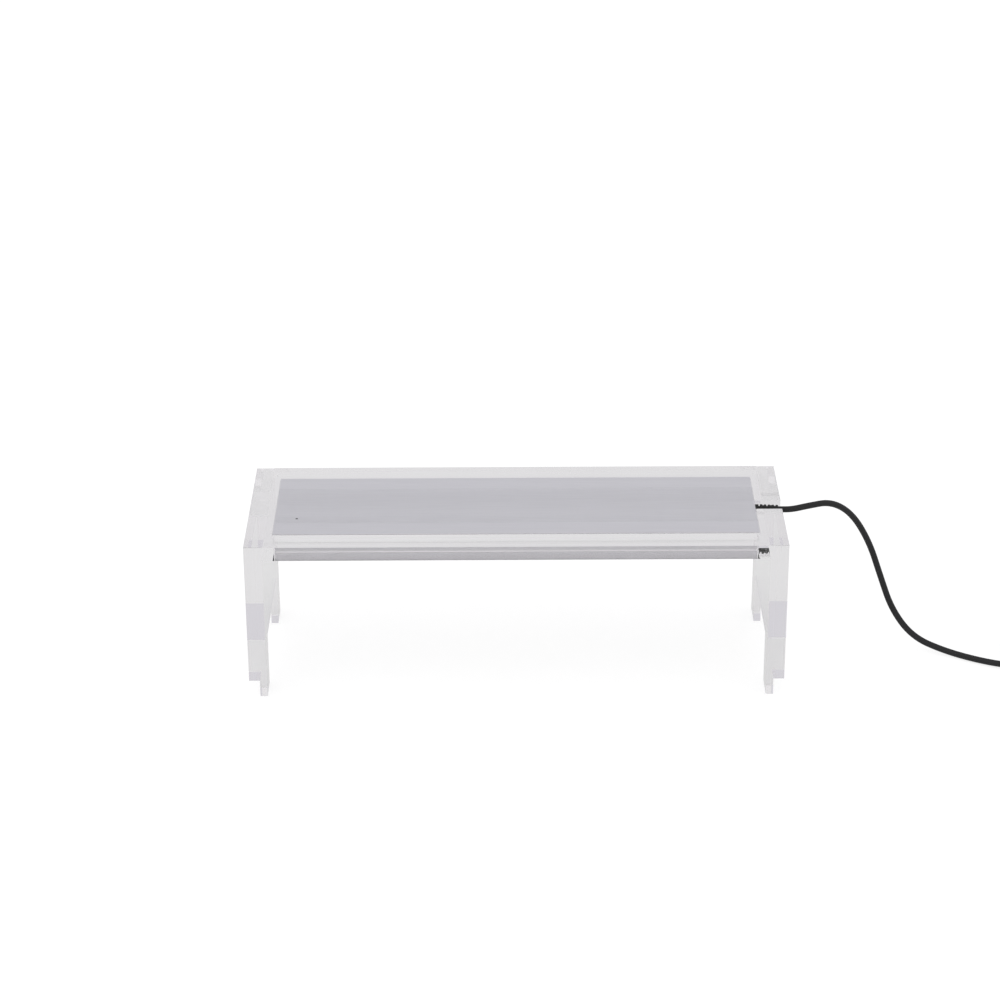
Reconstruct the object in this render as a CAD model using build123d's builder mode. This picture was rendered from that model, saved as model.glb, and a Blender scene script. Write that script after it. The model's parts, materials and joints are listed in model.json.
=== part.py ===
from build123d import *
import math
import os

# Clear acrylic stand-type LED light for a small aquarium. Millimetres.
# Origin: middle of the footprint, on the surface under the tongues. +X right, +Y back, +Z up.

# ---- driving dimensions: stand ----
length = 300.0
depth = 105.0
height = 93.0
leg_thickness = 10.0
plate_thickness = 8.0
foot_depth = 16.5
arch_ceiling = 30.5
tongue_length = 10.0
tongue_thickness = 4.0
leg_corner_radius = 0.6
arch_corner_radius = 1.0

pin_inset = 8.0
pin_diameter = 3.0
pin_fit = 0.05
pin_in_leg = 6.0
pin_in_plate = 2.5

# ---- driving dimensions: lamp body ----
flange_length = 270.0
flange_depth = 73.0
flange_proud = 0.4
flange_thickness = 2.0
flange_gap = 0.3
gasket_thickness = 0.3
flange_overhang = 1.5
body_gap = 0.6
groove_band = 45.7
groove_pitch = 0.9
groove_width = 0.45
groove_depth = 0.08
body_corner_radius = 0.3

cover_thickness = 1.5
cover_margin = 1.8
cover_gap = 0.2
cover_land = 4.7
web_thickness = 3.8
cavity_corner_radius = 3.0

board_length = 224.0
board_gap = 1.0
board_thickness = 1.0
pad_thickness = 0.5
pad_margin = 1.0
led_length = 5.6
led_width = 3.0
led_height = 0.9
led_rows = 4
led_columns = 14
led_row_pitch = 13.0
led_column_pitch = 15.5
small_led_length = 3.5
small_led_width = 2.8

small_screw_shank = 2.0
small_screw_head = 3.8
small_screw_head_height = 0.8
small_screw_clearance = 0.15
board_screw_length = 2.4
cover_screw_length = 5.5
cover_screw_pitch = 62.0

vent_x = -122.7
vent_y = -16.4
vent_diameter = 1.4

# ---- driving dimensions: lead, bushing, clamp, wires ----
cord_diameter = 3.6
cord_depth = 3.0
cord_fit = 0.1
channel_width = 10.8
channel_corner = 1.5
channel_floor_gap = 0.2
bushing_sleeve = 4.3
bushing_collar = 5.9
bushing_collar_length = 2.1
bushing_fit = 0.05
relief_core = 4.0
relief_bridge = 4.8
relief_rings = 5
ring_pitch = 2.2
ring_width = 1.2
ring_taper = 0.2
jacket_end = 120.0
wire_channel_start = 113.5
clamp_x = 123.5
clamp_width = 3.0
clamp_length = 13.0
clamp_thickness = 0.8
clamp_screw_spread = 9.0
wire_diameter = 0.9
wire_spread = 1.8
terminal_length = 7.0
terminal_width = 5.0
terminal_height = 1.2

# ---- driving dimensions: coil and tie ----
coil_columns = 4
coil_layers = 2
coil_mean_radius = 21.6
coil_skin = 0.1
coil_lift = 0.6
coil_reach = 165.0
coil_y = 2.0
coil_stub = 18.0
tie_width = 6.0
tie_thickness = 0.5
tie_gap = 0.1

# ---- driving dimensions: inline rocker switch ----
switch_lead = 14.0
switch_length = 50.0
switch_width = 20.0
switch_height = 13.5
switch_wall = 1.6
switch_corner = 3.0
switch_edge = 1.0
cord_grip = 6.0
rocker_z = 11.8
rocker_radius = 7.5
rocker_width = 9.0
rocker_gap = 0.3
rocker_rise = 0.5
rocker_underside = 2.5
rocker_tilt = 9.0
rocker_pin_radius = 1.0
rocker_pin_length = 1.4
rocker_pin_clearance = 0.08
cheek_thickness = 1.6
cheek_length = 9.0
cheek_drop = 2.6
contact_leaf_length = 12.0
contact_leaf_width = 3.0
contact_leaf_thickness = 0.4
contact_gap = 0.3
strip_length = 11.0
strip_width = 5.0
strip_thickness = 0.6
strip_x = 9.0
pedestal_length = 8.0
case_screw_x = 19.0
case_screw_y = 6.4
case_boss_radius = 2.2
case_screw_shank = 2.0
case_screw_head = 3.6
case_screw_head_height = 1.2
case_screw_length = 8.0
case_screw_clearance = 0.15
case_screw_recess = 0.3

# ---- driving dimensions: barrel plug ----
plug_reach = 284.0
plug_y = 26.0
plug_z = 5.3
plug_body_radius = 5.2
plug_body_length = 20.0
plug_relief_length = 12.0
plug_relief_radius = 2.7
plug_neck_radius = 4.2
barrel_radius = 2.75
barrel_bore_radius = 2.4
barrel_length = 9.5
barrel_grip = 5.0
barrel_grip_radius = 3.4
insulator_gap = 0.05
insulator_setback = 0.8
contact_outer_radius = 1.35
contact_bore_radius = 1.05

# ---- derived positions ----
half = length / 2
leg_inner = half - leg_thickness
tongue_outer = leg_inner + tongue_thickness
plate_bottom = height - plate_thickness
pin_y = depth / 2 - pin_inset
pin_z = height - plate_thickness / 2

panel_top = height + flange_proud
flange_bottom = panel_top - flange_thickness
rebate_floor = flange_bottom - gasket_thickness
rebate_length = flange_length + 2 * flange_gap
rebate_depth = flange_depth + 2 * flange_gap
body_length = flange_length - 2 * flange_overhang
body_depth = flange_depth - 2 * flange_overhang
window_length = body_length + 2 * body_gap
window_depth = body_depth + 2 * body_gap
body_bottom = plate_bottom

recess_length = body_length - 2 * cover_margin
recess_width = body_depth - 2 * cover_margin
cover_length = recess_length - 2 * cover_gap
cover_width = recess_width - 2 * cover_gap
cover_top = body_bottom + cover_thickness
land_z = cover_top + gasket_thickness
cavity_length = recess_length - 2 * cover_land
cavity_width = recess_width - 2 * cover_land
cavity_top = panel_top - web_thickness
land_middle_y = (recess_width + cavity_width) / 4

pad_z = cavity_top - pad_thickness
board_z = pad_z - board_thickness
board_width = cavity_width - 2 * board_gap
led_z = board_z - led_height

cord_z = height - cord_depth
cord_radius = cord_diameter / 2
bushing_start = cavity_length / 2
collar_start = flange_length / 2
relief_start = collar_start + bushing_collar_length
relief_end = relief_start + relief_rings * ring_pitch
channel_floor = cord_z - bushing_collar / 2 - channel_floor_gap
wire_channel_top = cord_z + cord_radius + cord_fit
clamp_top = cord_z - cord_radius
clamp_bottom = clamp_top - clamp_thickness

coil_x = half + coil_reach
coil_outer_turn = coil_mean_radius + (coil_columns - 1) * cord_diameter / 2
coil_outer_radius = coil_outer_turn + cord_radius + coil_skin
coil_inner_radius = coil_mean_radius - coil_columns * cord_diameter / 2 - coil_skin
coil_height = coil_layers * cord_diameter
coil_line_y = coil_y - coil_outer_turn
lower_turn_z = coil_lift + cord_radius
upper_turn_z = coil_lift + coil_height - cord_radius

switch_x = coil_x + coil_stub + switch_lead + switch_length / 2
switch_y = coil_line_y
switch_split_z = upper_turn_z
case_inner_length = switch_length - 2 * switch_wall
case_inner_width = switch_width - 2 * switch_wall
case_roof = switch_height - switch_wall
case_entry = switch_length / 2 - cord_grip
rocker_bottom = -rocker_underside
strip_top = (
    rocker_z
    - (rocker_underside + contact_leaf_thickness) * math.cos(math.radians(rocker_tilt))
    - contact_leaf_length / 2 * math.sin(math.radians(rocker_tilt))
    - contact_gap
)


def ring_block(outer_x, outer_y, outer_r, inner_x, inner_y, inner_r, low, high):
    """A flat rectangular ring between two heights."""
    with BuildPart() as ring:
        with BuildSketch(Plane.XY.offset(low)):
            RectangleRounded(outer_x, outer_y, outer_r)
            RectangleRounded(inner_x, inner_y, inner_r, mode=Mode.SUBTRACT)
        extrude(amount=high - low)
    return ring


def save(piece, name):
    """Name a finished piece and write it."""
    piece.part.label = name
    export_step(piece.part, f"parts/{name}.step")


def channel_cut(start, end):
    """The open-topped channel that the lead and its strain relief lie in."""
    with BuildPart() as channel:
        with BuildSketch(Plane.YZ.offset(start)):
            with Locations((0, channel_floor + height / 2)):
                RectangleRounded(channel_width, height, channel_corner)
        extrude(amount=end - start)
    return channel.part


os.makedirs("parts", exist_ok=True)

# ---- end legs ----
pin_points = [(-pin_y, pin_z), (pin_y, pin_z)]
arch_width = depth - 2 * foot_depth


def make_leg(side, grooved):
    """One end leg; side is -1 for the left and +1 for the right."""
    outline = Plane.YZ.offset(side * leg_inner)
    with BuildPart() as leg:
        with BuildSketch(outline):
            with Locations((0, height / 2)):
                RectangleRounded(depth, height, leg_corner_radius)
        extrude(amount=side * leg_thickness)
        with BuildSketch(outline):
            with Locations((0, arch_ceiling / 2)):
                Rectangle(arch_width, arch_ceiling)
        extrude(amount=side * leg_thickness, mode=Mode.SUBTRACT)
        arch_edges = leg.edges().filter_by(Axis.X).filter_by_position(
            Axis.Z, arch_ceiling - 0.01, arch_ceiling + 0.01
        )
        fillet(arch_edges, arch_corner_radius)
        with BuildSketch(Plane.YZ.offset(side * tongue_outer)):
            with Locations((0, tongue_length / 2)):
                Rectangle(depth, tongue_length)
        extrude(amount=side * (leg_thickness - tongue_thickness), mode=Mode.SUBTRACT)
        with BuildSketch(outline):
            with Locations(*pin_points):
                Circle(pin_diameter / 2 + pin_fit)
        extrude(amount=side * (pin_in_leg + pin_fit), mode=Mode.SUBTRACT)
        if grooved:
            add(channel_cut(leg_inner, half), mode=Mode.SUBTRACT)
    return leg


left_leg = make_leg(-1, False)
save(left_leg, "left_leg")
right_leg = make_leg(1, True)
save(right_leg, "right_leg")

# ---- top plate with the lamp's window and rebate ----
with BuildPart() as top_plate:
    with BuildSketch(Plane.XY.offset(plate_bottom)):
        Rectangle(2 * leg_inner, depth)
    extrude(amount=plate_thickness)
    with BuildSketch(Plane.XY.offset(plate_bottom)):
        RectangleRounded(window_length, window_depth, body_corner_radius + body_gap)
    extrude(amount=plate_thickness, mode=Mode.SUBTRACT)
    with BuildSketch(Plane.XY.offset(rebate_floor)):
        RectangleRounded(rebate_length, rebate_depth, body_corner_radius + flange_gap)
    extrude(amount=height - rebate_floor, mode=Mode.SUBTRACT)
    for side in (-1, 1):
        with BuildSketch(Plane.YZ.offset(side * leg_inner)):
            with Locations(*pin_points):
                Circle(pin_diameter / 2 + pin_fit)
        extrude(amount=-side * (pin_in_plate + pin_fit), mode=Mode.SUBTRACT)
    add(channel_cut(body_length / 2, leg_inner), mode=Mode.SUBTRACT)
save(top_plate, "top_plate")

# ---- clear pins that locate the legs on the plate's ends ----
with BuildPart() as leg_pins:
    for side in (-1, 1):
        with BuildSketch(Plane.YZ.offset(side * (leg_inner - pin_in_plate))):
            with Locations(*pin_points):
                Circle(pin_diameter / 2)
        extrude(amount=side * (pin_in_plate + pin_in_leg))
save(leg_pins, "leg_pins")

# ---- lamp body: grooved aluminium heat sink with a flange ----
groove_count = int(groove_band / groove_pitch)
board_screw_points = [
    (x, y)
    for x in (-board_length / 2 + 5, 0, board_length / 2 - 5)
    for y in (-board_width / 2 + 4, board_width / 2 - 4)
]
cover_screw_x = [(i - 2) * cover_screw_pitch for i in range(5)]
cover_screw_points = [(x, y) for x in cover_screw_x for y in (-land_middle_y, land_middle_y)]
clamp_screw_points = [
    (clamp_x, -clamp_screw_spread / 2),
    (clamp_x, clamp_screw_spread / 2),
]
wire_channel_length = bushing_start - wire_channel_start
with BuildPart() as heat_sink:
    with BuildSketch(Plane.XY.offset(flange_bottom)):
        RectangleRounded(flange_length, flange_depth, body_corner_radius)
    extrude(amount=flange_thickness)
    with BuildSketch(Plane.XY.offset(body_bottom)):
        RectangleRounded(body_length, body_depth, body_corner_radius)
    extrude(amount=flange_bottom - body_bottom)
    with BuildSketch(Plane.XY.offset(body_bottom)):
        RectangleRounded(recess_length, recess_width, body_corner_radius)
    extrude(amount=land_z - body_bottom, mode=Mode.SUBTRACT)
    with BuildSketch(Plane.XY.offset(land_z)):
        RectangleRounded(cavity_length, cavity_width, cavity_corner_radius)
    extrude(amount=cavity_top - land_z, mode=Mode.SUBTRACT)
    with BuildSketch(Plane.XY.offset(cavity_top)):
        with Locations(((wire_channel_start + bushing_start) / 2, 0)):
            Rectangle(wire_channel_length, cord_diameter + 2 * cord_fit)
    extrude(amount=wire_channel_top - cavity_top, mode=Mode.SUBTRACT)
    with BuildSketch(Plane.XY.offset(panel_top - groove_depth)):
        with GridLocations(flange_length, groove_pitch, 1, groove_count):
            Rectangle(flange_length, groove_width)
    extrude(amount=groove_depth, mode=Mode.SUBTRACT)
    with BuildSketch(Plane.YZ.offset(bushing_start)):
        with Locations((0, cord_z)):
            Circle(bushing_sleeve / 2)
    extrude(amount=flange_length / 2 - bushing_start, mode=Mode.SUBTRACT)
    with BuildSketch(Plane.XY.offset(cavity_top)):
        with Locations(*board_screw_points):
            Circle(small_screw_shank / 2)
    extrude(amount=board_screw_length, mode=Mode.SUBTRACT)
    with BuildSketch(Plane.XY.offset(land_z)):
        with Locations(*cover_screw_points):
            Circle(small_screw_shank / 2)
    extrude(amount=cover_screw_length, mode=Mode.SUBTRACT)
    with BuildSketch(Plane.XY.offset(cavity_top)):
        with Locations(*clamp_screw_points):
            Circle(small_screw_shank / 2)
    extrude(amount=board_screw_length, mode=Mode.SUBTRACT)
    with BuildSketch(Plane.XY.offset(cavity_top)):
        with Locations((vent_x, vent_y)):
            Circle(vent_diameter / 2)
    extrude(amount=panel_top - cavity_top, mode=Mode.SUBTRACT)
save(heat_sink, "heat_sink")

# ---- sealing ring under the flange ----
with BuildPart() as flange_gasket:
    add(
        ring_block(
            flange_length, flange_depth, body_corner_radius,
            window_length, window_depth, body_corner_radius + body_gap,
            rebate_floor, flange_bottom,
        ).part
    )
    with BuildSketch(Plane.YZ.offset(body_length / 2)):
        with Locations((0, cord_z)):
            Circle(bushing_sleeve / 2 + bushing_fit)
    extrude(amount=flange_overhang, mode=Mode.SUBTRACT)
save(flange_gasket, "flange_gasket")

# ---- thermal pad and LED board ----
with BuildPart() as thermal_pad:
    with BuildSketch(Plane.XY.offset(pad_z)):
        Rectangle(board_length - 2 * pad_margin, board_width - 2 * pad_margin)
        with Locations(*board_screw_points):
            Circle(small_screw_shank / 2 + small_screw_clearance, mode=Mode.SUBTRACT)
    extrude(amount=pad_thickness)
save(thermal_pad, "thermal_pad")

with BuildPart() as led_board:
    with BuildSketch(Plane.XY.offset(board_z)):
        RectangleRounded(board_length, board_width, board_gap)
        with Locations(*board_screw_points):
            Circle(small_screw_shank / 2 + small_screw_clearance, mode=Mode.SUBTRACT)
    extrude(amount=board_thickness)
save(led_board, "led_board")


def chips(long_side, short_side, points):
    """A set of LED packages on the board's underside."""
    with BuildPart() as chip_set:
        with BuildSketch(Plane.XY.offset(led_z)):
            with Locations(*points):
                Rectangle(long_side, short_side)
        extrude(amount=led_height)
    return chip_set


for row in range(led_rows):
    row_y = (row - (led_rows - 1) / 2) * led_row_pitch
    row_points = [
        ((column - (led_columns - 1) / 2) * led_column_pitch, row_y)
        for column in range(led_columns)
    ]
    white_row = chips(led_length, led_width, row_points)
    save(white_row, f"white_led_row_{row + 1}")

for number, colour in enumerate(("blue", "green", "red")):
    colour_y = (number - 1) * led_row_pitch
    colour_points = [
        ((column - led_columns / 2 + 1) * led_column_pitch, colour_y)
        for column in range(0, led_columns - 1, 2)
    ]
    colour_row = chips(small_led_length, small_led_width, colour_points)
    save(colour_row, f"{colour}_leds")


# ---- small pan-head screws, all driven from below ----
def pan_screws(points, seat_z, shank_length):
    """Pan-head screws whose heads hang under a seat."""
    with BuildPart() as screws:
        with BuildSketch(Plane.XY.offset(seat_z)):
            with Locations(*points):
                Circle(small_screw_head / 2)
        extrude(amount=-small_screw_head_height)
        with BuildSketch(Plane.XY.offset(seat_z)):
            with Locations(*points):
                Circle(small_screw_shank / 2)
        extrude(amount=shank_length)
    return screws


board_screws = pan_screws(board_screw_points, board_z, cavity_top + board_screw_length - board_z)
save(board_screws, "board_screws")

# ---- clear lens cover, its gasket and countersunk screws ----
with BuildPart() as lens_cover:
    with BuildSketch(Plane.XY.offset(body_bottom)):
        RectangleRounded(cover_length, cover_width, body_corner_radius)
    extrude(amount=cover_thickness)
    with Locations(*[(x, y, body_bottom) for x, y in cover_screw_points]):
        Cone(
            small_screw_head / 2,
            small_screw_shank / 2 + small_screw_clearance,
            cover_thickness,
            align=(Align.CENTER, Align.CENTER, Align.MIN),
            mode=Mode.SUBTRACT,
        )
save(lens_cover, "lens_cover")

with BuildPart() as cover_gasket:
    add(
        ring_block(
            cover_length, cover_width, body_corner_radius,
            cavity_length, cavity_width, cavity_corner_radius,
            cover_top, land_z,
        ).part
    )
    with BuildSketch(Plane.XY.offset(cover_top)):
        with Locations(*cover_screw_points):
            Circle(small_screw_shank / 2 + small_screw_clearance)
    extrude(amount=gasket_thickness, mode=Mode.SUBTRACT)
save(cover_gasket, "cover_gasket")

with BuildPart() as cover_screws:
    with Locations(*[(x, y, body_bottom) for x, y in cover_screw_points]):
        Cone(
            small_screw_head / 2,
            small_screw_shank / 2,
            cover_thickness,
            align=(Align.CENTER, Align.CENTER, Align.MIN),
        )
        Cylinder(
            small_screw_shank / 2,
            land_z + cover_screw_length - body_bottom,
            align=(Align.CENTER, Align.CENTER, Align.MIN),
        )
save(cover_screws, "cover_screws")

# ---- vent plug through the top web ----
with BuildPart() as vent_plug:
    with Locations((vent_x, vent_y, cavity_top)):
        Cylinder(
            vent_diameter / 2,
            panel_top - cavity_top - groove_depth / 2,
            align=(Align.CENTER, Align.CENTER, Align.MIN),
        )
save(vent_plug, "vent_plug")

# ---- lead entry: bushing, clamp bar and its screws ----
with BuildPart() as cord_bushing:
    with BuildSketch(Plane.YZ.offset(bushing_start)):
        with Locations((0, cord_z)):
            Circle(bushing_sleeve / 2)
    extrude(amount=collar_start - bushing_start)
    with BuildSketch(Plane.YZ.offset(collar_start)):
        with Locations((0, cord_z)):
            Circle(bushing_collar / 2)
    extrude(amount=bushing_collar_length)
    for ring in range(relief_rings):
        ring_end = relief_start + (ring + 1) * ring_pitch
        neck = relief_bridge if ring % 2 else relief_core
        with BuildSketch(Plane.YZ.offset(ring_end - ring_pitch)):
            with Locations((0, cord_z)):
                Circle(neck / 2)
        extrude(amount=ring_pitch)
        with BuildSketch(Plane.YZ.offset(ring_end - ring_width)):
            with Locations((0, cord_z)):
                Circle((bushing_collar - ring * ring_taper) / 2)
        extrude(amount=ring_width)
    with BuildSketch(Plane.YZ.offset(bushing_start)):
        with Locations((0, cord_z)):
            Circle(cord_radius)
    extrude(amount=relief_end - bushing_start, mode=Mode.SUBTRACT)
save(cord_bushing, "cord_bushing")

with BuildPart() as cord_clamp:
    with BuildSketch(Plane.XY.offset(clamp_bottom)):
        with Locations((clamp_x, 0)):
            Rectangle(clamp_width, clamp_length)
        with Locations(*clamp_screw_points):
            Circle(small_screw_shank / 2 + small_screw_clearance, mode=Mode.SUBTRACT)
    extrude(amount=clamp_thickness)
save(cord_clamp, "cord_clamp")

clamp_screws = pan_screws(clamp_screw_points, clamp_bottom, cavity_top + board_screw_length - clamp_bottom)
save(clamp_screws, "clamp_screws")

# ---- wire terminal on the board, and the two wires ----
terminal_end = board_length / 2 - 0.5
with BuildPart() as wire_terminal:
    with BuildSketch(Plane.XY.offset(board_z)):
        with Locations((terminal_end - terminal_length / 2, 0)):
            Rectangle(terminal_length, terminal_width)
    extrude(amount=-terminal_height)
save(wire_terminal, "wire_terminal")


def turns_and_lengths(points):
    """Turn at each corner in degrees, and the length of each run."""
    vectors = [Vector(*points[i + 1]) - Vector(*points[i]) for i in range(len(points) - 1)]
    runs = [v.length for v in vectors]
    turns = [vectors[i].get_angle(vectors[i + 1]) for i in range(len(vectors) - 1)]
    return turns, runs


def tube(points, diameter, name):
    """A round lead of straight runs joined by the largest tangent arcs that fit."""
    turns, runs = turns_and_lengths(points)
    radii = [
        0.45 * min(runs[i], runs[i + 1]) / math.tan(math.radians(turn / 2))
        for i, turn in enumerate(turns)
    ]
    with BuildPart() as lead:
        with BuildLine() as path:
            FilletPolyline(*points, radius=radii)
        with BuildSketch(path.line ^ 0):
            Circle(diameter / 2)
        sweep()
    path_length = sum(edge.length for edge in path.edges())
    expected = path_length * math.pi * diameter**2 / 4
    print(name, "length", round(path_length, 1), "radii", [round(r, 1) for r in radii])
    print(name, "volume over section times length", round(lead.part.volume / expected, 4))
    return lead


def straight_tube(start, end, y, z, diameter):
    """A round straight lead along X."""
    with BuildPart() as lead:
        with BuildSketch(Plane.YZ.offset(start)):
            with Locations((y, z)):
                Circle(diameter / 2)
        extrude(amount=end - start)
    return lead


wire_low_z = board_z - terminal_height / 2
for colour, side in (("red", 1), ("black", -1)):
    wire_y = side * wire_spread / 2
    wire_points = [
        (jacket_end, wire_y, cord_z),
        (jacket_end - 1.8, wire_y, cord_z),
        (terminal_end + 2.7, wire_y, wire_low_z),
        (terminal_end, wire_y, wire_low_z),
    ]
    wire = tube(wire_points, wire_diameter, f"{colour}_wire")
    save(wire, f"{colour}_wire")

# ---- lead: held in the bushing and grooves, then free ----
held_lead = straight_tube(jacket_end, half, 0, cord_z, cord_diameter)
save(held_lead, "held_lead")

free_route = [
    (half, 0.0, cord_z),
    (half + 6.0, 0.0, cord_z),
    (half + 15.0, 1.5, cord_z + 1.4),
    (half + 29.0, 7.5, cord_z + 1.2),
    (half + 42.0, 13.0, 81.0),
    (half + 53.0, 16.0, 61.5),
    (half + 60.0, 14.0, 41.0),
    (half + 67.0, 9.0, 21.5),
    (half + 79.0, 2.0, 7.0),
    (half + 97.0, -6.0, 1.9),
    (half + 116.0, -18.0, 1.9),
    (coil_x - coil_stub - 14.5, coil_line_y, lower_turn_z),
    (coil_x - coil_stub, coil_line_y, lower_turn_z),
]
free_lead = tube(free_route, cord_diameter, "free_lead")
save(free_lead, "free_lead")

# ---- put-away coil: ring of turns with the lead's two tangent ends, and its tie ----
with BuildPart() as cord_coil:
    with BuildSketch(Plane.XY.offset(coil_lift)):
        with Locations((coil_x, coil_y)):
            Circle(coil_outer_radius)
            Circle(coil_inner_radius, mode=Mode.SUBTRACT)
    extrude(amount=coil_height)
    for side, turn_z in ((-1, lower_turn_z), (1, upper_turn_z)):
        with BuildSketch(Plane.YZ.offset(coil_x)):
            with Locations((coil_line_y, turn_z)):
                Circle(cord_radius - coil_skin / 2)
        extrude(amount=side * coil_stub)
save(cord_coil, "cord_coil")

tie_inner_y = coil_y + math.sqrt(coil_inner_radius**2 - tie_width**2 / 4) - tie_gap
tie_outer_y = coil_y + coil_outer_radius + tie_gap
tie_middle = ((tie_inner_y + tie_outer_y) / 2, coil_lift + coil_height / 2)
with BuildPart() as coil_tie:
    with BuildSketch(Plane.YZ.offset(coil_x - tie_width / 2)):
        with Locations(tie_middle):
            Rectangle(
                tie_outer_y - tie_inner_y + 2 * tie_thickness,
                coil_height + 2 * tie_gap + 2 * tie_thickness,
            )
            Rectangle(
                tie_outer_y - tie_inner_y,
                coil_height + 2 * tie_gap,
                mode=Mode.SUBTRACT,
            )
    extrude(amount=tie_width)
save(coil_tie, "coil_tie")

link_lead = straight_tube(
    coil_x + coil_stub, switch_x - case_entry, coil_line_y, upper_turn_z, cord_diameter
)
save(link_lead, "link_lead")

# ---- inline rocker switch ----
case_screw_points = [
    (switch_x + sx * case_screw_x, switch_y + sy * case_screw_y)
    for sx in (-1, 1)
    for sy in (-1, 1)
]
entry_plane = Plane.YZ.offset(switch_x - switch_length / 2)

with BuildPart() as switch_lower_case:
    with BuildSketch(Plane.XY):
        with Locations((switch_x, switch_y)):
            RectangleRounded(switch_length, switch_width, switch_corner)
    extrude(amount=switch_split_z)
    fillet(switch_lower_case.faces().sort_by(Axis.Z)[0].edges(), switch_edge)
    with BuildSketch(Plane.XY.offset(switch_wall)):
        with Locations((switch_x, switch_y)):
            RectangleRounded(case_inner_length, case_inner_width, switch_corner - switch_wall)
    extrude(amount=switch_split_z - switch_wall, mode=Mode.SUBTRACT)
    with BuildSketch(Plane.XY.offset(switch_wall)):
        with Locations(*case_screw_points):
            Circle(case_boss_radius)
    extrude(amount=switch_split_z - switch_wall)
    with BuildSketch(Plane.XY.offset(switch_wall)):
        with Locations((switch_x - strip_x, switch_y), (switch_x + strip_x, switch_y)):
            Rectangle(pedestal_length, strip_width)
    extrude(amount=strip_top - strip_thickness - switch_wall)
    with BuildSketch(entry_plane):
        with Locations((switch_y, switch_split_z)):
            Circle(cord_radius)
    extrude(amount=switch_length, mode=Mode.SUBTRACT)
    with BuildSketch(Plane.XY):
        with Locations(*case_screw_points):
            Circle(case_screw_head / 2 + case_screw_clearance)
    extrude(amount=case_screw_recess + case_screw_head_height, mode=Mode.SUBTRACT)
    with BuildSketch(Plane.XY):
        with Locations(*case_screw_points):
            Circle(case_screw_shank / 2 + case_screw_clearance)
    extrude(amount=switch_split_z, mode=Mode.SUBTRACT)
save(switch_lower_case, "switch_lower_case")

window_half = rocker_radius + rocker_gap
cheek_y = rocker_width / 2 + rocker_gap + cheek_thickness / 2
with BuildPart() as switch_upper_case:
    with BuildSketch(Plane.XY.offset(switch_split_z)):
        with Locations((switch_x, switch_y)):
            RectangleRounded(switch_length, switch_width, switch_corner)
    extrude(amount=switch_height - switch_split_z)
    fillet(switch_upper_case.faces().sort_by(Axis.Z)[-1].edges(), switch_edge)
    with BuildSketch(Plane.XY.offset(switch_split_z)):
        with Locations((switch_x, switch_y)):
            RectangleRounded(case_inner_length, case_inner_width, switch_corner - switch_wall)
    extrude(amount=case_roof - switch_split_z, mode=Mode.SUBTRACT)
    with BuildSketch(Plane.XY.offset(switch_split_z)):
        with Locations(*case_screw_points):
            Circle(case_boss_radius)
    extrude(amount=case_roof - switch_split_z)
    with BuildSketch(Plane.XY.offset(case_roof)):
        with Locations((switch_x, switch_y - cheek_y), (switch_x, switch_y + cheek_y)):
            Rectangle(cheek_length, cheek_thickness)
    extrude(amount=-cheek_drop)
    with BuildSketch(Plane.XY.offset(case_roof)):
        with Locations((switch_x, switch_y)):
            Rectangle(2 * window_half, rocker_width + 2 * rocker_gap)
    extrude(amount=switch_wall, mode=Mode.SUBTRACT)
    with BuildSketch(Plane.XZ.offset(-switch_y)):
        with Locations((switch_x, rocker_z)):
            Circle(rocker_pin_radius + rocker_pin_clearance)
    extrude(
        amount=rocker_width / 2 + rocker_pin_length + rocker_pin_clearance,
        both=True,
        mode=Mode.SUBTRACT,
    )
    with BuildSketch(entry_plane):
        with Locations((switch_y, switch_split_z)):
            Circle(cord_radius)
    extrude(amount=switch_length, mode=Mode.SUBTRACT)
    with BuildSketch(Plane.XY.offset(switch_split_z)):
        with Locations(*case_screw_points):
            Circle(case_screw_shank / 2)
    extrude(amount=case_screw_length - switch_split_z + 2 * switch_wall, mode=Mode.SUBTRACT)
save(switch_upper_case, "switch_upper_case")

tilt = math.radians(rocker_tilt)
rocker_plane = Plane(
    origin=(switch_x, switch_y, rocker_z),
    x_dir=(math.cos(tilt), 0, math.sin(tilt)),
    z_dir=(0, -1, 0),
)
rocker_middle = switch_height + rocker_rise - rocker_z
rocker_end = rocker_middle + rocker_radius * math.tan(tilt)
with BuildPart() as switch_rocker:
    with BuildSketch(rocker_plane):
        Circle(rocker_radius)
        with BuildLine():
            Polyline(
                (-rocker_radius, rocker_bottom),
                (rocker_radius, rocker_bottom),
                (rocker_radius, rocker_end),
                (0, rocker_middle),
                (-rocker_radius, rocker_end),
                close=True,
            )
        make_face(mode=Mode.INTERSECT)
    extrude(amount=rocker_width / 2, both=True)
    with BuildSketch(rocker_plane):
        Circle(rocker_pin_radius)
    extrude(amount=rocker_width / 2 + rocker_pin_length, both=True)
save(switch_rocker, "switch_rocker")

with BuildPart() as rocker_contact:
    with BuildSketch(rocker_plane):
        with Locations((0, rocker_bottom - contact_leaf_thickness / 2)):
            Rectangle(contact_leaf_length, contact_leaf_thickness)
    extrude(amount=contact_leaf_width / 2, both=True)
save(rocker_contact, "rocker_contact")

with BuildPart() as switch_terminals:
    with BuildSketch(Plane.XY.offset(strip_top - strip_thickness)):
        with Locations((switch_x - strip_x, switch_y), (switch_x + strip_x, switch_y)):
            Rectangle(strip_length, strip_width)
    extrude(amount=strip_thickness)
save(switch_terminals, "switch_terminals")

with BuildPart() as case_screws:
    with BuildSketch(Plane.XY.offset(case_screw_recess)):
        with Locations(*case_screw_points):
            Circle(case_screw_head / 2)
    extrude(amount=case_screw_head_height)
    with BuildSketch(Plane.XY.offset(case_screw_recess + case_screw_head_height)):
        with Locations(*case_screw_points):
            Circle(case_screw_shank / 2)
    extrude(amount=case_screw_length)
save(case_screws, "case_screws")

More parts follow.
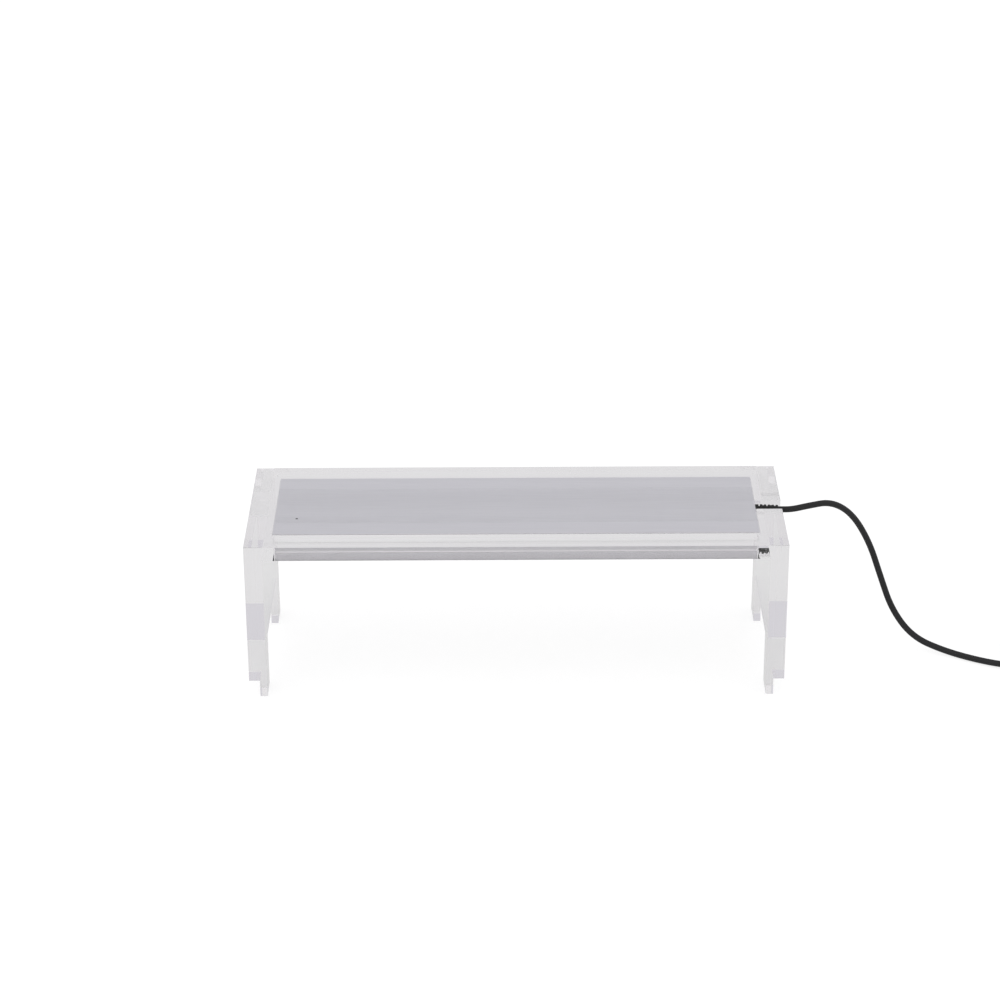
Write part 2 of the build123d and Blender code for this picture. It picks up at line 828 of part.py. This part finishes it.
# ---- tail of the lead, from the switch to the plug ----
plug_x = half + plug_reach
tail_route = [
    (switch_x + case_entry, switch_y, upper_turn_z),
    (switch_x + case_entry + 15.0, switch_y, upper_turn_z),
    (switch_x + case_entry + 30.0, switch_y + 6.5, 3.8),
    (plug_x - 4.0, switch_y + 20.5, 3.2),
    (plug_x, plug_y - 14.0, plug_z),
    (plug_x, plug_y, plug_z),
]
tail_lead = tube(tail_route, cord_diameter, "tail_lead")
save(tail_lead, "tail_lead")

# ---- barrel plug, pointing +Y ----
body_start = plug_y + plug_relief_length
barrel_start = body_start + plug_body_length
plug_axis = Axis((plug_x, plug_y, plug_z), (0, 1, 0))
plug_plane = Plane(origin=(plug_x, plug_y, plug_z), x_dir=(1, 0, 0), z_dir=(0, 0, 1))
with BuildPart() as plug_body:
    with BuildSketch(plug_plane):
        with BuildLine():
            Polyline(
                (0, 0),
                (plug_relief_radius, 0),
                (plug_neck_radius, plug_relief_length),
                (plug_body_radius, plug_relief_length),
                (plug_body_radius, plug_relief_length + plug_body_length),
                (0, plug_relief_length + plug_body_length),
                close=True,
            )
        make_face()
    revolve(axis=plug_axis)
    with BuildSketch(Plane.XZ.offset(-barrel_start)):
        with Locations((plug_x, plug_z)):
            Circle(barrel_grip_radius)
    extrude(amount=barrel_grip, mode=Mode.SUBTRACT)
save(plug_body, "plug_body")


def plug_sleeve(grip_radius, outer_radius, bore_radius, reach):
    """A round sleeve with a grip held in the plug body and a length reaching out of it."""
    with BuildPart() as sleeve:
        for start, end, radius in (
            (barrel_start - barrel_grip, barrel_start, grip_radius),
            (barrel_start, barrel_start + reach, outer_radius),
        ):
            with BuildSketch(Plane.XZ.offset(-end)):
                with Locations((plug_x, plug_z)):
                    Circle(radius)
                    Circle(bore_radius, mode=Mode.SUBTRACT)
            extrude(amount=end - start)
    return sleeve


plug_barrel = plug_sleeve(barrel_grip_radius, barrel_radius, barrel_bore_radius, barrel_length)
save(plug_barrel, "plug_barrel")
insulator_radius = barrel_bore_radius - insulator_gap
plug_insulator = plug_sleeve(
    insulator_radius, insulator_radius, contact_outer_radius, barrel_length - insulator_setback
)
save(plug_insulator, "plug_insulator")
plug_contact = plug_sleeve(
    contact_outer_radius,
    contact_outer_radius,
    contact_bore_radius,
    barrel_length - 2 * insulator_setback,
)
save(plug_contact, "plug_contact")
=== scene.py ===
import json
import math

import bpy
from mathutils import Matrix, Vector


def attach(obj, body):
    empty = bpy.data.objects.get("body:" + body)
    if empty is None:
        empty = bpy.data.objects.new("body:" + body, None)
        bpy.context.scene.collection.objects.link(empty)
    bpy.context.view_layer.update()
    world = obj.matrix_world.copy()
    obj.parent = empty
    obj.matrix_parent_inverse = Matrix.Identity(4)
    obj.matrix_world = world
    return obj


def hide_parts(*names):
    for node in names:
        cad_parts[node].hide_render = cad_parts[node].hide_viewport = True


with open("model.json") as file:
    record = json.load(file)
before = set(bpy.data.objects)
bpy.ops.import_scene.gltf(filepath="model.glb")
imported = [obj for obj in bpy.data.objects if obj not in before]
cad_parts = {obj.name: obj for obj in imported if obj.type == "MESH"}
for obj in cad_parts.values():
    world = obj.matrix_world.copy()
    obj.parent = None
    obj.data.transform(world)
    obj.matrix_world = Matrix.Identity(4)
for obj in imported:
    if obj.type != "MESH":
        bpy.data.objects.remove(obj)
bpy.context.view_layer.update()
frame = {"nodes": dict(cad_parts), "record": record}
nodes = frame["nodes"]

MM = 0.001


def mm(*values):
    """A point given in millimetres, in metres."""
    return Vector(values) * MM


# ---- camera: lens and sensor in millimetres, clipping in metres ----
CAMERA_PLACE = mm(-5.15, -1497.3, 805.4)
CAMERA_PITCH = math.radians(25.331)
CAMERA_YAW = math.radians(-0.142)
CAMERA_ROLL = math.radians(-0.322)
CAMERA_LENS = 105.68
CAMERA_SENSOR = 36.0
CAMERA_CLIP_START = 0.05
CAMERA_CLIP_END = 50.0


def make_camera():
    """The view from the front and above, with a slight roll."""
    data = bpy.data.cameras.new("camera")
    data.lens = CAMERA_LENS
    data.sensor_width = CAMERA_SENSOR
    data.clip_start = CAMERA_CLIP_START
    data.clip_end = CAMERA_CLIP_END
    camera = bpy.data.objects.new("camera", data)
    bpy.context.scene.collection.objects.link(camera)
    ahead = Vector(
        (
            math.sin(CAMERA_YAW) * math.cos(CAMERA_PITCH),
            math.cos(CAMERA_YAW) * math.cos(CAMERA_PITCH),
            -math.sin(CAMERA_PITCH),
        )
    )
    level = Vector((math.cos(CAMERA_YAW), -math.sin(CAMERA_YAW), 0.0))
    upright = level.cross(ahead)
    right = level * math.cos(CAMERA_ROLL) + upright * math.sin(CAMERA_ROLL)
    up = upright * math.cos(CAMERA_ROLL) - level * math.sin(CAMERA_ROLL)
    camera.matrix_world = Matrix.Translation(CAMERA_PLACE) @ Matrix(
        (
            (right.x, up.x, -ahead.x, 0.0),
            (right.y, up.y, -ahead.y, 0.0),
            (right.z, up.z, -ahead.z, 0.0),
            (0.0, 0.0, 0.0, 1.0),
        )
    )
    bpy.context.scene.camera = camera


make_camera()

# ---- leads: routes in millimetres ----
CORD_DIAMETER = 3.6
HALF_LENGTH = 150.0
VISIBLE_START = 121.5
CORD_Z = 90.0
COIL_X = 315.0
COIL_Y = 2.0
COIL_MEAN_RADIUS = 21.6
COIL_COLUMNS = 4
COIL_LIFT = 0.6
COIL_STUB = 18.0
SWITCH_LEAD = 14.0
SWITCH_LENGTH = 50.0
CORD_GRIP = 6.0
PLUG_X = 434.0
PLUG_Y = 26.0
PLUG_Z = 5.3
CURVE_ORDER = 3
CURVE_STEPS = 8
BEVEL_STEPS = 5

# The coil's turns: points in each, and the share of a turn after which it shifts to the next radius.
TURN_POINTS = 24
SHIFT_START = 0.78

COIL_OUTER_TURN = COIL_MEAN_RADIUS + (COIL_COLUMNS - 1) * CORD_DIAMETER / 2
COIL_LINE_Y = COIL_Y - COIL_OUTER_TURN
LOWER_TURN_Z = COIL_LIFT + CORD_DIAMETER / 2
UPPER_TURN_Z = LOWER_TURN_Z + CORD_DIAMETER
SWITCH_X = COIL_X + COIL_STUB + SWITCH_LEAD + SWITCH_LENGTH / 2
CASE_ENTRY = SWITCH_LENGTH / 2 - CORD_GRIP

FREE_ROUTE = [
    (HALF_LENGTH, 0.0, CORD_Z),
    (HALF_LENGTH + 6.0, 0.0, CORD_Z),
    (HALF_LENGTH + 15.0, 1.5, CORD_Z + 1.4),
    (HALF_LENGTH + 29.0, 7.5, CORD_Z + 1.2),
    (HALF_LENGTH + 42.0, 13.0, 81.0),
    (HALF_LENGTH + 53.0, 16.0, 61.5),
    (HALF_LENGTH + 60.0, 14.0, 41.0),
    (HALF_LENGTH + 67.0, 9.0, 21.5),
    (HALF_LENGTH + 79.0, 2.0, 7.0),
    (HALF_LENGTH + 97.0, -6.0, 1.9),
    (HALF_LENGTH + 116.0, -18.0, 1.9),
    (COIL_X - COIL_STUB - 14.5, COIL_LINE_Y, LOWER_TURN_Z),
    (COIL_X - COIL_STUB, COIL_LINE_Y, LOWER_TURN_Z),
]
LINK_ROUTE = [
    (COIL_X + COIL_STUB, COIL_LINE_Y, UPPER_TURN_Z),
    (SWITCH_X - CASE_ENTRY, COIL_LINE_Y, UPPER_TURN_Z),
]
TAIL_ROUTE = [
    (SWITCH_X + CASE_ENTRY, COIL_LINE_Y, UPPER_TURN_Z),
    (SWITCH_X + CASE_ENTRY + 15.0, COIL_LINE_Y, UPPER_TURN_Z),
    (SWITCH_X + CASE_ENTRY + 30.0, COIL_LINE_Y + 6.5, 3.8),
    (PLUG_X - 4.0, COIL_LINE_Y + 20.5, 3.2),
    (PLUG_X, PLUG_Y - 14.0, PLUG_Z),
    (PLUG_X, PLUG_Y, PLUG_Z),
]


def eased(share):
    """A smooth step from 0 to 1."""
    return share * share * (3.0 - 2.0 * share)


def coil_turns():
    """The coil: inwards in the lower layer, then outwards in the upper one.

    The control points lie a little outside each turn, so that the curve itself has its radius.
    """
    inwards = [COIL_OUTER_TURN - i * CORD_DIAMETER for i in range(COIL_COLUMNS)]
    radii = inwards + inwards[::-1]
    heights = [LOWER_TURN_Z] * COIL_COLUMNS + [UPPER_TURN_Z] * COIL_COLUMNS
    outwards = 1.0 / math.cos(math.pi / TURN_POINTS)
    points = []
    for step in range(1, len(radii) * TURN_POINTS):
        turn, place = divmod(step, TURN_POINTS)
        share = place / TURN_POINTS
        after = min(turn + 1, len(radii) - 1)
        shift = eased(max(0.0, share - SHIFT_START) / (1.0 - SHIFT_START))
        radius = (radii[turn] + (radii[after] - radii[turn]) * shift) * outwards
        z = heights[turn] + (heights[after] - heights[turn]) * shift
        angle = math.tau * share - math.pi / 2
        points.append((COIL_X + radius * math.cos(angle), COIL_Y + radius * math.sin(angle), z))
    return points


def round_curve(name, points, diameter):
    """A smooth round lead along control points in millimetres."""
    data = bpy.data.curves.new(name, "CURVE")
    data.dimensions = "3D"
    data.bevel_depth = 1.0
    data.bevel_resolution = BEVEL_STEPS
    data.resolution_u = CURVE_STEPS
    data.use_fill_caps = True
    spline = data.splines.new("NURBS")
    spline.points.add(len(points) - 1)
    for control, point in zip(spline.points, points, strict=True):
        control.co = (*mm(*point), 1.0)
        control.radius = diameter * MM / 2
    spline.order_u = CURVE_ORDER
    spline.use_endpoint_u = True
    piece = bpy.data.objects.new(name, data)
    bpy.context.scene.collection.objects.link(piece)
    return piece


lead = round_curve(
    "lead", [(VISIBLE_START, 0.0, CORD_Z)] + FREE_ROUTE + coil_turns() + LINK_ROUTE, CORD_DIAMETER
)
tail = round_curve("tail", TAIL_ROUTE, CORD_DIAMETER)
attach(lead, "light")
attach(tail, "light")
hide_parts("held_lead", "free_lead", "cord_coil", "link_lead")
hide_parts("tail_lead")


# ---- material helpers: waves per metre, relief in metres ----
NOISE_ROUGHNESS = 0.5
GRAIN_WAVES = 900.0
GRAIN_RELIEF = 0.00003
GRAIN_STRENGTH = 0.5
BRUSHED_WAVES = 1400.0
BRUSHED_RELIEF = 0.000008
FINE_PER_BROAD = 25.0
FINE_SHARE = 0.6
PLAIN_IOR = 1.5
POLISH_WAVES = 30.0
POLISH_RELIEF = 0.00002
POLISH_STRENGTH = 0.2
CLEAR_TINT_DIP = 0.985
HAZE_WAVES = 700.0
EVENLY = (1.0, 1.0, 1.0)
ALONG_X = (0.03, 1.0, 1.0)


def new_material(name):
    """An empty node material with its surface shader."""
    material = bpy.data.materials.new(name)
    material.use_nodes = True
    tree = material.node_tree
    shader = next(node for node in tree.nodes if node.type == "BSDF_PRINCIPLED")
    return material, tree, shader


def object_place(tree, scale=(1.0, 1.0, 1.0)):
    """The piece's own coordinates in metres, multiplied by scale."""
    coordinates = tree.nodes.new("ShaderNodeTexCoord")
    mapping = tree.nodes.new("ShaderNodeMapping")
    mapping.inputs["Scale"].default_value = scale
    tree.links.new(coordinates.outputs["Object"], mapping.inputs["Vector"])
    return mapping.outputs["Vector"]


def noise(tree, place, scale, detail=3.0):
    """Fractal noise; scale is in waves per metre."""
    texture = tree.nodes.new("ShaderNodeTexNoise")
    texture.inputs["Scale"].default_value = scale
    texture.inputs["Detail"].default_value = detail
    texture.inputs["Roughness"].default_value = NOISE_ROUGHNESS
    tree.links.new(place, texture.inputs["Vector"])
    return texture.outputs["Fac"]


def calculated(tree, operation, *values):
    """One arithmetic node; each value is a number or another node's output."""
    node = tree.nodes.new("ShaderNodeMath")
    node.operation = operation
    for socket, value in zip(node.inputs, values, strict=False):
        if isinstance(value, (int, float)):
            socket.default_value = value
        else:
            tree.links.new(value, socket)
    return node.outputs[0]


def ranged(tree, value, low, high, start=0.0, end=1.0):
    """Maps value from start..end to low..high."""
    node = tree.nodes.new("ShaderNodeMapRange")
    node.inputs["From Min"].default_value = start
    node.inputs["From Max"].default_value = end
    node.inputs["To Min"].default_value = low
    node.inputs["To Max"].default_value = high
    tree.links.new(value, node.inputs["Value"])
    return node.outputs["Result"]


def coloured(tree, value, stops):
    """A colour ramp over value; stops are (place, (r, g, b))."""
    ramp = tree.nodes.new("ShaderNodeValToRGB")
    while len(ramp.color_ramp.elements) < len(stops):
        ramp.color_ramp.elements.new(0.5)
    for element, (place, colour) in zip(ramp.color_ramp.elements, stops, strict=True):
        element.position = place
        element.color = (*colour, 1.0)
    tree.links.new(value, ramp.inputs["Fac"])
    return ramp.outputs["Color"]


def bumped(tree, shader, height, strength, distance):
    """Surface relief of the given height in metres."""
    bump = tree.nodes.new("ShaderNodeBump")
    bump.inputs["Strength"].default_value = strength
    bump.inputs["Distance"].default_value = distance
    tree.links.new(height, bump.inputs["Height"])
    tree.links.new(bump.outputs["Normal"], shader.inputs["Normal"])


def grained(
    name,
    dark,
    light,
    rough,
    waves=GRAIN_WAVES,
    relief=GRAIN_RELIEF,
    metallic=0.0,
    ior=PLAIN_IOR,
    stretch=EVENLY,
):
    """A moulded or finished surface: fine grain in colour, gloss and relief."""
    material, tree, shader = new_material(name)
    place = object_place(tree, stretch)
    fine = noise(tree, place, waves)
    broad = noise(tree, place, waves / FINE_PER_BROAD, 2.0)
    broad_share = ranged(tree, broad, 0.0, 1.0 - FINE_SHARE)
    value = calculated(tree, "MULTIPLY_ADD", fine, FINE_SHARE, broad_share)
    tree.links.new(coloured(tree, value, [(0.3, dark), (0.7, light)]), shader.inputs["Base Color"])
    tree.links.new(ranged(tree, value, rough[0], rough[1], 0.25, 0.75), shader.inputs["Roughness"])
    shader.inputs["Metallic"].default_value = metallic
    shader.inputs["IOR"].default_value = ior
    bumped(tree, shader, fine, GRAIN_STRENGTH, relief)
    return material


# Where the clear pieces meet, in millimetres: the plate's ends, and the pins between plate and legs.
JOINT_X = 140.0
PLATE_BOTTOM = 85.0
PIN_Y = 44.5
PIN_Z = 89.0
PIN_RADIUS = 1.5
PIN_INNER_X = 137.5
PIN_OUTER_X = 146.0
JOINT_REACH = 0.02
PIN_END_REACH = 0.01
PIN_WALL_REACH = 0.1


def cemented(tree):
    """1 where clear pieces are cemented face to face, and 0 on every open face."""
    split = tree.nodes.new("ShaderNodeSeparateXYZ")
    tree.links.new(object_place(tree), split.inputs[0])
    along = calculated(tree, "ABSOLUTE", split.outputs["X"])
    across = calculated(tree, "ABSOLUTE", split.outputs["Y"])
    height = split.outputs["Z"]
    at_joint = calculated(tree, "COMPARE", along, JOINT_X * MM, JOINT_REACH * MM)
    in_plate = calculated(tree, "GREATER_THAN", height, PLATE_BOTTOM * MM)
    joint = calculated(tree, "MULTIPLY", at_joint, in_plate)
    from_pin_y = calculated(tree, "SUBTRACT", across, PIN_Y * MM)
    from_pin_z = calculated(tree, "SUBTRACT", height, PIN_Z * MM)
    y_squared = calculated(tree, "MULTIPLY", from_pin_y, from_pin_y)
    z_squared = calculated(tree, "MULTIPLY", from_pin_z, from_pin_z)
    away = calculated(tree, "SQRT", calculated(tree, "ADD", y_squared, z_squared))
    middle = (PIN_INNER_X + PIN_OUTER_X) / 2 * MM
    reach = ((PIN_OUTER_X - PIN_INNER_X) / 2 - PIN_END_REACH) * MM
    near_pin = calculated(tree, "LESS_THAN", away, (PIN_RADIUS + PIN_WALL_REACH) * MM)
    beside_pin = calculated(tree, "COMPARE", along, middle, reach)
    wall = calculated(tree, "MULTIPLY", near_pin, beside_pin)
    return calculated(tree, "MAXIMUM", joint, wall)


def seen_through(tree, shader, where):
    """Makes a surface vanish where the given output is 1."""
    through = tree.nodes.new("ShaderNodeBsdfTransparent")
    mix = tree.nodes.new("ShaderNodeMixShader")
    output = next(node for node in tree.nodes if node.type == "OUTPUT_MATERIAL")
    tree.links.new(where, mix.inputs[0])
    tree.links.new(shader.outputs[0], mix.inputs[1])
    tree.links.new(through.outputs[0], mix.inputs[2])
    tree.links.new(mix.outputs[0], output.inputs["Surface"])


def clear_plastic(name, tint, rough, ior, joined=False):
    """Clear plastic: faint polish waves and a little haze; cemented faces vanish where joined."""
    material, tree, shader = new_material(name)
    place = object_place(tree)
    broad = noise(tree, place, POLISH_WAVES, 2.0)
    fine = noise(tree, place, HAZE_WAVES, 4.0)
    shader.inputs["Transmission Weight"].default_value = 1.0
    shader.inputs["IOR"].default_value = ior
    low = tuple(part * CLEAR_TINT_DIP for part in tint)
    tree.links.new(coloured(tree, broad, [(0.3, low), (0.7, tint)]), shader.inputs["Base Color"])
    tree.links.new(ranged(tree, fine, rough[0], rough[1], 0.3, 0.7), shader.inputs["Roughness"])
    bumped(tree, shader, broad, POLISH_STRENGTH, POLISH_RELIEF)
    if joined:
        seen_through(tree, shader, cemented(tree))
    return material


def brushed_metal(name, dark, light, rough, stretch=EVENLY):
    """Metal with very fine grain, which becomes lines where it is stretched along one direction."""
    return grained(name, dark, light, rough, BRUSHED_WAVES, BRUSHED_RELIEF, 1.0, stretch=stretch)


MATERIALS = {
    "clear_acrylic": clear_plastic(
        "clear_acrylic", (0.985, 0.975, 0.985), (0.0, 0.03), 1.49, joined=True
    ),
    "clear_lens": clear_plastic("clear_lens", (0.93, 0.94, 0.95), (0.01, 0.05), 1.58),
    "anodised_aluminium": brushed_metal(
        "anodised_aluminium", (0.755, 0.753, 0.775), (0.815, 0.813, 0.835), (0.38, 0.5), ALONG_X
    ),
    "stainless_steel": brushed_metal(
        "stainless_steel", (0.42, 0.42, 0.42), (0.6, 0.6, 0.6), (0.25, 0.4)
    ),
    "nickel_barrel": brushed_metal(
        "nickel_barrel", (0.62, 0.6, 0.56), (0.74, 0.72, 0.68), (0.12, 0.25)
    ),
    "brass_contact": brushed_metal(
        "brass_contact", (0.6, 0.42, 0.16), (0.75, 0.56, 0.25), (0.2, 0.35)
    ),
    "clear_silicone": clear_plastic("clear_silicone", (0.95, 0.955, 0.955), (0.2, 0.35), 1.41),
    "grey_thermal_pad": grained("grey_thermal_pad", (0.3, 0.32, 0.34), (0.38, 0.4, 0.43), (0.7, 0.85)),
    "white_board": grained("white_board", (0.78, 0.78, 0.77), (0.84, 0.84, 0.83), (0.3, 0.42)),
    "white_led": grained("white_led", (0.75, 0.55, 0.1), (0.85, 0.68, 0.2), (0.3, 0.5)),
    "blue_led": grained("blue_led", (0.5, 0.58, 0.75), (0.6, 0.68, 0.85), (0.2, 0.35)),
    "green_led": grained("green_led", (0.52, 0.7, 0.55), (0.6, 0.8, 0.64), (0.2, 0.35)),
    "red_led": grained("red_led", (0.75, 0.52, 0.5), (0.85, 0.6, 0.58), (0.2, 0.35)),
    "black_rubber": grained(
        "black_rubber", (0.008, 0.008, 0.008), (0.016, 0.016, 0.016), (0.5, 0.65), ior=1.4
    ),
    "black_cord_jacket": grained(
        "black_cord_jacket", (0.008, 0.008, 0.009), (0.016, 0.016, 0.017), (0.38, 0.5), ior=1.38
    ),
    "red_wire_jacket": grained("red_wire_jacket", (0.4, 0.02, 0.015), (0.5, 0.03, 0.02), (0.35, 0.45)),
    "black_wire_jacket": grained(
        "black_wire_jacket", (0.012, 0.012, 0.012), (0.02, 0.02, 0.02), (0.35, 0.45)
    ),
    "white_plastic": grained("white_plastic", (0.74, 0.74, 0.72), (0.8, 0.8, 0.78), (0.35, 0.5)),
    "black_tie": grained("black_tie", (0.015, 0.015, 0.015), (0.03, 0.03, 0.03), (0.45, 0.6)),
    "black_plastic": grained(
        "black_plastic",
        (0.014, 0.014, 0.015),
        (0.024, 0.024, 0.026),
        (0.42, 0.58),
        waves=1600.0,
        relief=0.00005,
    ),
    "red_plastic": grained("red_plastic", (0.36, 0.012, 0.01), (0.42, 0.018, 0.014), (0.15, 0.25)),
}


def dress(piece, material):
    """Gives a piece one material."""
    piece.data.materials.clear()
    piece.data.materials.append(material)


for part in frame["record"]["subparts"]:
    dress(nodes[part["node"]], MATERIALS[part["material_slot"]])
dress(lead, MATERIALS["black_cord_jacket"])
dress(tail, MATERIALS["black_cord_jacket"])


# ---- studio: places and sizes in metres, power in watts ----
FLOOR_SIZE = 14.0
FLOOR_PLACE = (0.0, 2.0, -0.0002)
FLOOR_WAVES = 3.0
FLOOR_DARK = (0.295, 0.295, 0.295)
FLOOR_LIGHT = (0.3, 0.3, 0.3)
FLOOR_GLOW_SEEN = 0.82
FLOOR_GLOW_LIT = 0.52
WORLD_STRENGTH = 0.825
WORLD_LIGHT = (1.0, 1.0, 1.0)
WORLD_SHADE = (0.80, 0.79, 0.83)
LIGHT_BOUNCES = 32


def seen_or_lit(tree, seen, lit):
    """One strength as the camera sees it and another as the object is lit by it."""
    path = tree.nodes.new("ShaderNodeLightPath")
    return ranged(tree, path.outputs["Is Camera Ray"], lit, seen)


def make_floor():
    """A large plain pale floor, clear from below so that the underside can be looked at."""
    bpy.ops.mesh.primitive_plane_add(size=FLOOR_SIZE, location=FLOOR_PLACE)
    floor = bpy.context.object
    floor.name = "floor"
    material, tree, shader = new_material("floor")
    place = object_place(tree)
    value = noise(tree, place, FLOOR_WAVES, 2.0)
    stops = [(0.3, FLOOR_DARK), (0.7, FLOOR_LIGHT)]
    tree.links.new(coloured(tree, value, stops), shader.inputs["Base Color"])
    shader.inputs["Emission Color"].default_value = (1.0, 1.0, 1.0, 1.0)
    glow = seen_or_lit(tree, FLOOR_GLOW_SEEN, FLOOR_GLOW_LIT)
    tree.links.new(glow, shader.inputs["Emission Strength"])
    shader.inputs["Roughness"].default_value = 0.9
    shader.inputs["Specular IOR Level"].default_value = 0.0
    geometry = tree.nodes.new("ShaderNodeNewGeometry")
    seen_through(tree, shader, geometry.outputs["Backfacing"])
    dress(floor, material)


def make_world():
    """White light from all round, a little dimmer and cooler behind and above."""
    world = bpy.data.worlds.new("world")
    world.use_nodes = True
    tree = world.node_tree
    coordinates = tree.nodes.new("ShaderNodeTexCoord")
    split = tree.nodes.new("ShaderNodeSeparateXYZ")
    tree.links.new(coordinates.outputs["Generated"], split.inputs[0])
    behind = ranged(tree, split.outputs["Y"], 0.0, 1.0, 0.2, 0.7)
    above = ranged(tree, split.outputs["Z"], 0.0, 1.0, 0.05, 0.25)
    shade = calculated(tree, "MULTIPLY", behind, above)
    background = tree.nodes["Background"]
    stops = [(0.0, WORLD_LIGHT), (1.0, WORLD_SHADE)]
    tree.links.new(coloured(tree, shade, stops), background.inputs["Color"])
    background.inputs["Strength"].default_value = WORLD_STRENGTH
    bpy.context.scene.world = world


def make_softbox(name, place, target, size, power):
    """A large square lamp that faces a target and can't be seen through clear pieces."""
    data = bpy.data.lights.new(name, "AREA")
    data.shape = "SQUARE"
    data.size = size
    data.energy = power
    lamp = bpy.data.objects.new(name, data)
    bpy.context.scene.collection.objects.link(lamp)
    lamp.visible_transmission = False
    lamp.location = place
    lamp.rotation_euler = (Vector(target) - Vector(place)).to_track_quat("-Z", "Y").to_euler()


make_floor()
make_world()
make_softbox("key", place=(-0.9, -0.6, 1.9), target=(0.0, 0.0, 0.05), size=1.2, power=3.0)
make_softbox("fill", place=(0.0, -1.0, 0.3), target=(0.0, 0.0, 0.09), size=0.6, power=0.25)
bpy.context.scene.view_settings.view_transform = "Standard"

# Light is caught in the clear sheets for many turns, and would otherwise end black.
cycles = bpy.context.scene.cycles
cycles.max_bounces = LIGHT_BOUNCES
cycles.glossy_bounces = LIGHT_BOUNCES
cycles.transmission_bounces = LIGHT_BOUNCES
cycles.transparent_max_bounces = LIGHT_BOUNCES
bpy.context.view_layer.update()
